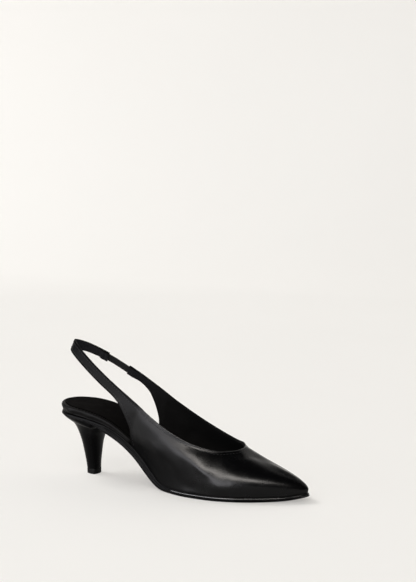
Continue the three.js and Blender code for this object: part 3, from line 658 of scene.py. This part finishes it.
# %% Cut the elastic into lanes
LANES = 18
SPAN_AT_LEAST = 5.5 * MM
elastic = merged_copy("sling_elastic", "elastic_webbing")
tops = set()
for edge in elastic.data.edges:
    low, high = sorted(edge.vertices, key=lambda corner: elastic.data.vertices[corner].co.z)
    span = elastic.data.vertices[high].co - elastic.data.vertices[low].co
    edge.select = span.length > SPAN_AT_LEAST
    if edge.select:
        tops.add(high)
number_corners(elastic, "across", [float(i in tops) for i in range(len(elastic.data.vertices))])
for item in (*elastic.data.vertices, *elastic.data.polygons):
    item.select = False
activate(elastic)
bpy.ops.object.mode_set(mode="EDIT")
bpy.context.tool_settings.mesh_select_mode = (False, True, False)
bpy.ops.mesh.subdivide(number_cuts=LANES - 1)
bpy.context.tool_settings.mesh_select_mode = (True, False, False)
bpy.ops.object.mode_set(mode="OBJECT")
print("elastic:", len(elastic.data.polygons), "faces")

# %% [markdown]
# Before the cut, the corners along the top got the number 1 and the others 0, and the cut filled in the
# values between. They tell which line a corner lies on, and so whether it is lifted. The yarn is dull
# and mottled, and a fine wave stands for the threads that cross it.

# %% Rib and colour the elastic
RIB = 0.09 * MM
PICK, PICK_DEPTH = 4 * MM, 0.05 * MM
YARN = 1.2 * MM
across = elastic.data.attributes["across"].data
outs = [corner.normal.copy() for corner in elastic.data.vertices]
for corner, out in zip(elastic.data.vertices, outs):
    lane = round(across[corner.index].value * LANES)
    if 0 < lane < LANES:
        corner.co += out * RIB * (1 if lane % 2 else -1)
refine(elastic, levels=1)
webbing = Finish("webbing", (0.006, 0.006, 0.0065), 0.8)
weave = webbing.node("TexWave", Vector=webbing.place, Scale=1 / PICK, Distortion=0.6)
webbing.press(weave.outputs["Fac"], PICK_DEPTH)
webbing.feed("Base Color", webbing.blend(webbing.clouds(YARN), (0.002, 0.002, 0.0025), (0.01, 0.01, 0.0115)))
webbing.shader.inputs["Sheen Weight"].default_value = 0.05
webbing.shader.inputs["Specular IOR Level"].default_value = 0.12
elastic.data.materials.append(webbing.material)

# %% [markdown]
# ## Insole and sock
# The insole is a board with padding under the heel, wrapped in soft lining. At the seat it meets the
# covered band of the sole, and a dark line runs round between the two. The line is made by drawing in the
# insole's lower rim here, and the band's upper rim when the sole's turn comes.

# %% Round the insole
SEAT_FRONT = -30 * MM
RIM_UP, RIM_OUT = 0.2, 0.4
INSOLE_TUCK, BAND_TUCK = 1.1 * MM, 0.6 * MM


def tuck(piece, side, depth):
    """Draws the upper (1) or lower (-1) outer rim of a piece inward at the seat."""
    for corner in piece.data.vertices:
        out = Vector((corner.normal.x, corner.normal.y, 0))
        at_rim = side * corner.normal.z > RIM_UP and out.length > RIM_OUT
        if corner.co.x < SEAT_FRONT and at_rim:
            corner.co -= depth * out.normalized()


insole = merged_copy("insole", "insole_pad")
pad = leather(
    "pad", dark=(0.002, 0.0018, 0.0018), light=(0.0035, 0.003, 0.003),
    gloss=(0.45, 0.55), pore=0.5 * MM, depth=0.02 * MM, shine=0.05,
)
insole.data.materials.append(pad.material)
tuck(insole, -1, INSOLE_TUCK)
refine(insole, levels=2, rounds=1)

# %% [markdown]
# On the insole lies the sock, a thin sheet of lining leather cut a little smaller, whose edge shows as a
# fine line round the seat. Its outline follows the insole's. The insole is sliced at many stations to
# read where its two sides are, and each side is moved in.

# %% Draw the sock's two sides
SOCK_IN = 3.4 * MM
SOCK_ROWS, SOCK_LANES = 96, 24
END_TURN = 0.02
spots = np.array([corner.co[:] for corner in insole.data.vertices])
ends = np.array([edge.vertices[:] for edge in insole.data.edges])
starts, stops = spots[ends[:, 0]], spots[ends[:, 1]]


def sides_at(x):
    """The two sides of the insole at a station."""
    crossing = (starts[:, 0] - x) * (stops[:, 0] - x) < 0
    first, last = starts[crossing], stops[crossing]
    share = (x - first[:, 0]) / (last[:, 0] - first[:, 0])
    y = first[:, 1] + share * (last[:, 1] - first[:, 1])
    return y.min(), y.max()


back, tip = spots[:, 0].min(), spots[:, 0].max()
turns_round = np.linspace(END_TURN, math.pi - END_TURN, SOCK_ROWS + 1)
stations = back + (tip - back) * (1 - np.cos(turns_round)) / 2
outline = np.array([sides_at(x) for x in stations])
sock_sides = []
for side in (0, 1):
    line = np.stack([stations, outline[:, side]], 1)
    ahead = np.gradient(line, axis=0)
    ahead /= np.linalg.norm(ahead, axis=1)[:, None]
    inward = np.stack([-ahead[:, 1], ahead[:, 0]], 1) * (1 if side == 0 else -1)
    sock_sides.append(line + SOCK_IN * inward)
print("sock stations:", len(stations))

# %% [markdown]
# A flat grid is bent to fill the space between the two lines. Each of its corners drops from above onto
# the insole, and the sheet then gets its thickness and a softly cut edge.

# %% Lay the sock
ABOVE = 0.2
SOCK_GAP, SOCK_THICK, SOCK_EDGE = 0.1 * MM, 0.6 * MM, 0.2 * MM
insole_tree = BVHTree.FromObject(insole, bpy.context.evaluated_depsgraph_get())
bpy.ops.mesh.primitive_grid_add(x_subdivisions=SOCK_ROWS, y_subdivisions=SOCK_LANES, size=2)
sock = bpy.context.object
sock.name = sock.data.name = "sock_lining"
for corner in sock.data.vertices:
    i = round((corner.co.x + 1) / 2 * SOCK_ROWS)
    place = sock_sides[0][i] + (sock_sides[1][i] - sock_sides[0][i]) * (corner.co.y + 1) / 2
    hit = insole_tree.ray_cast(Vector((place[0], place[1], ABOVE)), Vector((0, 0, -1)))
    corner.co = hit[0] + Vector((0, 0, SOCK_GAP))
sheet = sock.modifiers.new("sheet", "SOLIDIFY")
sheet.thickness, sheet.offset = SOCK_THICK, 1.0
bpy.ops.object.modifier_apply(modifier=sheet.name)
bevel_edges(sock, SOCK_EDGE, SMOOTH_TURN)
bpy.ops.object.shade_smooth_by_angle(angle=SMOOTH_TURN)
sock_leather = leather(
    "sock_leather", dark=(0.0017, 0.0013, 0.0013), light=(0.0027, 0.0021, 0.002),
    gloss=(0.8, 0.9), pore=0.6 * MM, depth=0.03 * MM, shine=0.02,
)
sock.data.materials.append(sock_leather.material)
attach(sock, "root")
print("sock:", len(sock.data.polygons), "faces")

# %% [markdown]
# ## Outsole
# The sole is thin leather with a painted edge. Above the edge runs a narrow band covered in calf, which
# stands out at the seat and steps back ahead of the heel. The tread is plain dyed leather. Round the
# forefoot the top of the edge stands out past the upper, and it is burnished there: rubbed with wax until
# it shines, so that it draws a bright thin line along the shoe. The way a face looks tells the tread and
# the burnished top apart; the rest, the covered band too, gets the edge's paint.

# %% Colour the outsole
edge_paint = leather(
    "edge_paint", dark=(0.0014, 0.0014, 0.0016), light=(0.0024, 0.0024, 0.0027),
    gloss=(0.36, 0.46), pore=0.3 * MM, depth=0.01 * MM, shine=0.035,
)
tread = leather(
    "tread", dark=(0.004, 0.0038, 0.0036), light=(0.007, 0.0066, 0.0062),
    gloss=(0.5, 0.66), pore=0.5 * MM, depth=0.03 * MM,
)
burnish = leather(
    "burnish", dark=(0.002, 0.002, 0.0022), light=(0.0032, 0.0032, 0.0035),
    gloss=(0.2, 0.28), pore=0.3 * MM, depth=0.008 * MM, shine=0.5,
)
TREAD_DOWN, LEDGE_UP = -0.75, (0.12, 0.95)
FOREFOOT = 8 * MM
TREAD, LEDGE = 1, 2
outsole = merged_copy("outsole", "outsole_leather")
for finish in (edge_paint, tread, burnish):
    outsole.data.materials.append(finish.material)
for face in outsole.data.polygons:
    if face.normal.z < TREAD_DOWN:
        face.material_index = TREAD
    elif LEDGE_UP[0] < face.normal.z < LEDGE_UP[1] and face.center.x > FOREFOOT:
        face.material_index = LEDGE
print("burnished:", sum(face.material_index == LEDGE for face in outsole.data.polygons), "faces")

# %% [markdown]
# The sharp edges are looked up before the band's rim is drawn in, so that the tuck doesn't change which
# of them stay crisp. The outline has so many corners that it hardly shrinks, so none is moved out first.

# %% Round the outsole
rule = sharp_edges(outsole, turn=60, crease=0.6)
tuck(outsole, 1, BAND_TUCK)
refine(outsole, levels=2, crease=rule, rounds=0)

# %% [markdown]
# ## Heel and top lift
# The heel is a moulded cone wrapped in the upper's calf, here with next to no gloss. Its upper lip is
# turned in under the seat and stays matt, like any cut edge. A small lift of hard rubber is nailed under
# the heel. Both are rounded copies.

# %% Round the heel and the lift
LIP_UP = 0.3
heel = merged_copy("heel", "heel_cover")
wrap = leather(
    "wrap", dark=(0.001, 0.001, 0.0012), light=(0.0016, 0.0016, 0.0019),
    gloss=(0.26, 0.34), pore=0.45 * MM, depth=0.012 * MM, shine=0.032,
)
for finish in (wrap, cut_edge):
    heel.data.materials.append(finish.material)
for face in heel.data.polygons:
    face.material_index = int(face.normal.z > LIP_UP)
refine(heel, levels=2, crease=sharp_edges(heel, turn=60, crease=1.0))
lift = merged_copy("top_lift", "lift_rubber")
rubber = leather(
    "rubber", dark=(0.0018, 0.0018, 0.0018), light=(0.003, 0.003, 0.003),
    gloss=(0.5, 0.62), pore=0.35 * MM, depth=0.02 * MM, shine=0.06,
)
lift.data.materials.append(rubber.material)
refine(lift, levels=2, crease=sharp_edges(lift, turn=30, crease=0.7))

# %% [markdown]
# ## Studio
# A plain pale sheet of paper runs back over the floor and bends up into a wall, so that no edge of it
# shows. It is one plane: its far edge is extruded up, and the corner is bevelled into a wide bend.

# %% Floor and backdrop
SHEET, WALL_AT, WALL_HEIGHT = 12, 2.4, 4.5
BEND, BEND_STEPS = 1.0, 24
CLOSE = 0.01
bpy.ops.mesh.primitive_plane_add(size=SHEET)
floor = bpy.context.object
floor.name = "floor"
floor.data.transform(Matrix.Translation((0, WALL_AT - SHEET / 2, 0)))


def select_edges(piece, chosen):
    """Selects only the edges whose ends all pass a test."""
    for item in (*piece.data.vertices, *piece.data.polygons):
        item.select = False
    for edge in piece.data.edges:
        edge.select = all(chosen(piece.data.vertices[corner].co) for corner in edge.vertices)
    activate(piece)
    bpy.context.tool_settings.mesh_select_mode = (False, True, False)
    bpy.ops.object.mode_set(mode="EDIT")


select_edges(floor, lambda place: place.y > WALL_AT - CLOSE)
bpy.ops.mesh.extrude_region_move(TRANSFORM_OT_translate={"value": (0, 0, WALL_HEIGHT)})
bpy.ops.object.mode_set(mode="OBJECT")
select_edges(floor, lambda place: place.y > WALL_AT - CLOSE and place.z < CLOSE)
bpy.ops.mesh.bevel(offset=BEND, segments=BEND_STEPS, affect="EDGES")
bpy.ops.object.mode_set(mode="OBJECT")
bpy.ops.object.shade_smooth()
print("sheet:", len(floor.data.polygons), "faces")

# %% [markdown]
# Paper scatters light almost evenly. A photographer lights the backdrop apart from the subject, so that it
# stays as pale as the floor. Here the paper has a glow of its own instead, which depends on how far a
# place is from the shoe, and no lamp is needed that would show in the leather.

# %% Paper
MOTTLE = 0.4
NEAR, FAR, WALL = 0.2, 1.4, 3.2
NEAR_GLOW, FAR_GLOW, WALL_GLOW = 0.4, 0.38, 0.16
paper = Finish("paper", (0.5, 0.49, 0.47), 0.95)
paper.shader.inputs["Emission Color"].default_value = (1.0, 0.975, 0.94, 1)
paper.feed("Base Color", paper.blend(paper.clouds(MOTTLE), (0.5, 0.49, 0.468), (0.51, 0.5, 0.478)))
away = paper.node("VectorMath", paper.place)
away.operation = "LENGTH"
on_floor = paper.ramp(away.outputs["Value"], NEAR, FAR, NEAR_GLOW, FAR_GLOW)
on_wall = paper.ramp(away.outputs["Value"], FAR, WALL, 0.0, WALL_GLOW)
paper.feed("Emission Strength", paper.math("ADD", on_floor, on_wall))
floor.data.materials.append(paper.material)
print("glow beside the shoe:", NEAR_GLOW, "and high on the wall:", FAR_GLOW + WALL_GLOW)

# %% [markdown]
# Two windows of soft light make the highlights: a wide, low one in front and to the left, and a narrow,
# brighter one above its right end, whose upper edge draws the crisp line over the vamp. All else stays
# dim, which leaves the top of the vamp black. Two more lights are for the floor. A large one, high and
# far to the left, lays the soft shadow under the arch and beside the toe. A weak one, high in front,
# fills it a little.
# The windows count only in reflections, and the other two only in scattered light. So the sheen of the
# leather and the shadow on the floor can be set apart.

# %% Lights
world = bpy.data.worlds.new("studio")
bpy.context.scene.world = world
world.use_nodes = True
world.node_tree.nodes["Background"].inputs["Color"].default_value = (1.0, 0.985, 0.96, 1)
world.node_tree.nodes["Background"].inputs["Strength"].default_value = 0.05


def softbox(name, turn, rise, away, size, power, tint=(1, 1, 1)):
    """A rectangular soft light, placed by the way to it: a turn to the right of the front, and a rise."""
    data = bpy.data.lights.new(name, "AREA")
    data.shape = "RECTANGLE"
    data.size, data.size_y = size
    data.energy = power
    data.color = tint
    lamp = bpy.data.objects.new(name, data)
    bpy.context.scene.collection.objects.link(lamp)
    turn, rise = math.radians(turn), math.radians(rise)
    way = Vector((math.sin(turn) * math.cos(rise), -math.cos(turn) * math.cos(rise), math.sin(rise)))
    lamp.location = way * away
    lamp.rotation_euler = (-way).to_track_quat("-Z", "Y").to_euler()
    print(name, "power", power)
    return lamp


wide = softbox("wide_light", turn=-30, rise=14, away=3.0, size=(5.6, 1.35), power=270, tint=(0.97, 0.96, 1.0))
strip = softbox("strip_light", turn=12, rise=36, away=3.0, size=(1.95, 0.7), power=125, tint=(1.0, 0.95, 0.9))
shadow = softbox("shadow_light", turn=-92, rise=50, away=9.0, size=(4.0, 4.0), power=520)
fill = softbox("fill_light", turn=12, rise=48, away=2.6, size=(3.2, 2.2), power=22)
wide.visible_diffuse = strip.visible_diffuse = False
shadow.visible_glossy = fill.visible_glossy = False

# %% [markdown]
# ## Camera
# The picture shows the shoe from its outer side, a little from the front and from above, through a long
# lens. The place and the aim were worked out from where the shoe's known lengths lie in the picture.

# %% Camera at the photo's angle
EYE, AIM = Vector((0.55966, -1.00001, 0.31553)), Vector((0.0001, 0.0519, 0.1722))
LENS, SENSOR = 79.79, 36
bpy.context.scene.view_settings.view_transform = "Standard"
camera = bpy.data.objects.new("camera", bpy.data.cameras.new("camera"))
bpy.context.scene.collection.objects.link(camera)
camera.location = EYE
camera.rotation_euler = (AIM - EYE).to_track_quat("-Z", "Y").to_euler()
camera.data.lens = LENS
camera.data.sensor_width = SENSOR
bpy.context.scene.camera = camera
print("camera at", EYE[:], "looking at", AIM[:])
